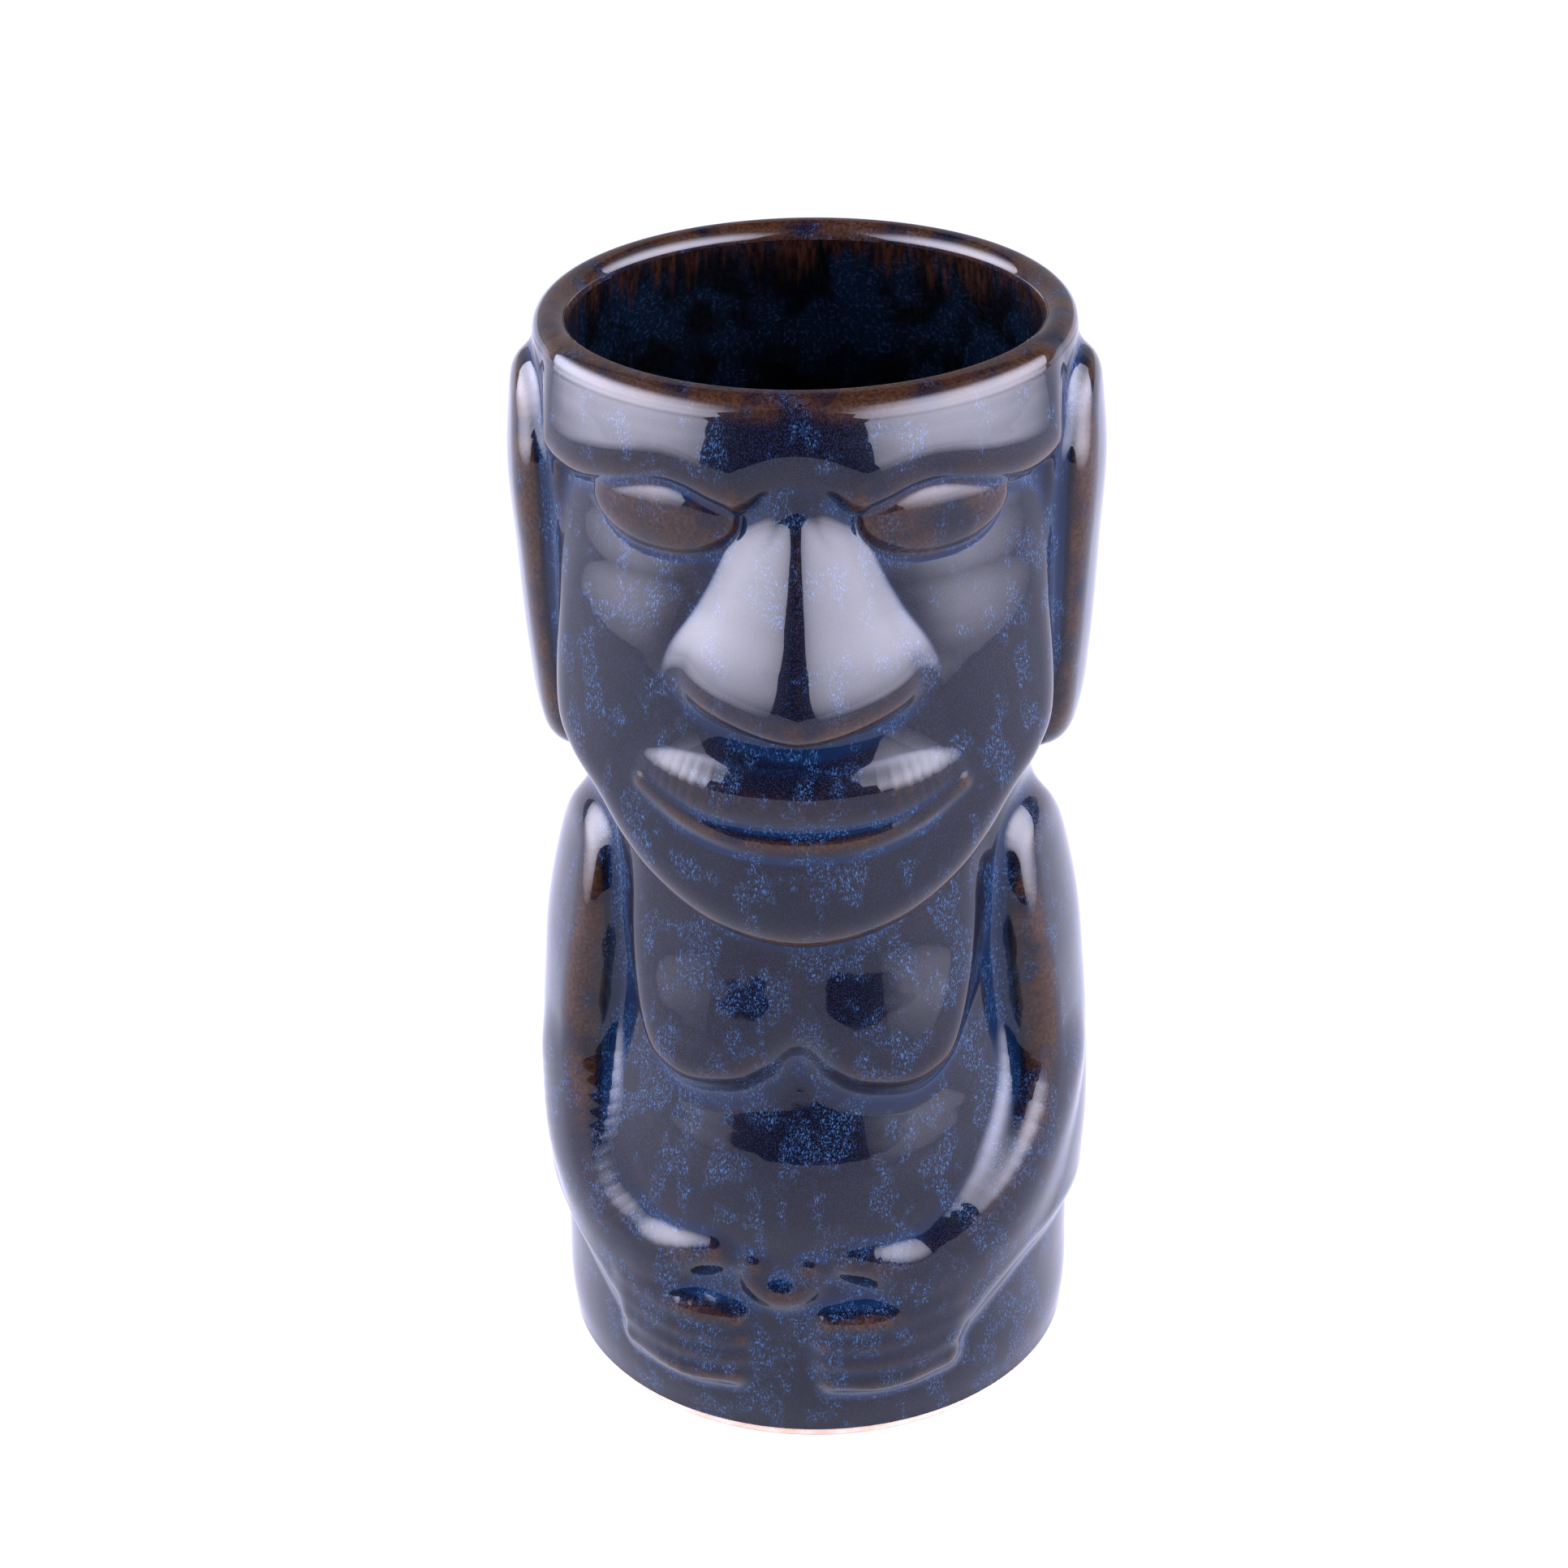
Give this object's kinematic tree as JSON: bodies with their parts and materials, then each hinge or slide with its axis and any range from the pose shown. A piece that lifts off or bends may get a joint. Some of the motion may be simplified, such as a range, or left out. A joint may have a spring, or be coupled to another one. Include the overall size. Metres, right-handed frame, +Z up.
{
  "type": "tiki mug",
  "caption": "Tall glazed ceramic drinking cup shaped as a carved standing figure with a long nosed face, long ears, broad chest and hands folded over the belly.",
  "frame": {"origin": "centre of the bare foot on the surface that the cup stands on", "axes": "+Z up through the mouth, the carved face looks along -Y, the figure's own left side is on +X"},
  "size_m": [0.0817, 0.0858, 0.162],
  "materials": {
    "outer_glaze": "gloss",
    "liner_glaze": "gloss",
    "bare_clay": "matte"
  },
  "bodies": {
    "root": {"cup_body": "outer_glaze", "liner_glaze": "liner_glaze", "bare_foot": "bare_clay", "face_mask": "outer_glaze", "brow_band": "outer_glaze", "nose": "outer_glaze", "eye_left": "outer_glaze", "eye_right": "outer_glaze", "upper_lip": "outer_glaze", "lower_lip": "outer_glaze", "ear_left": "outer_glaze", "ear_right": "outer_glaze", "chest": "outer_glaze", "arm_left": "outer_glaze", "arm_right": "outer_glaze", "hand_left": "outer_glaze", "hand_right": "outer_glaze", "navel": "outer_glaze"}
  },
  "joints": []
}
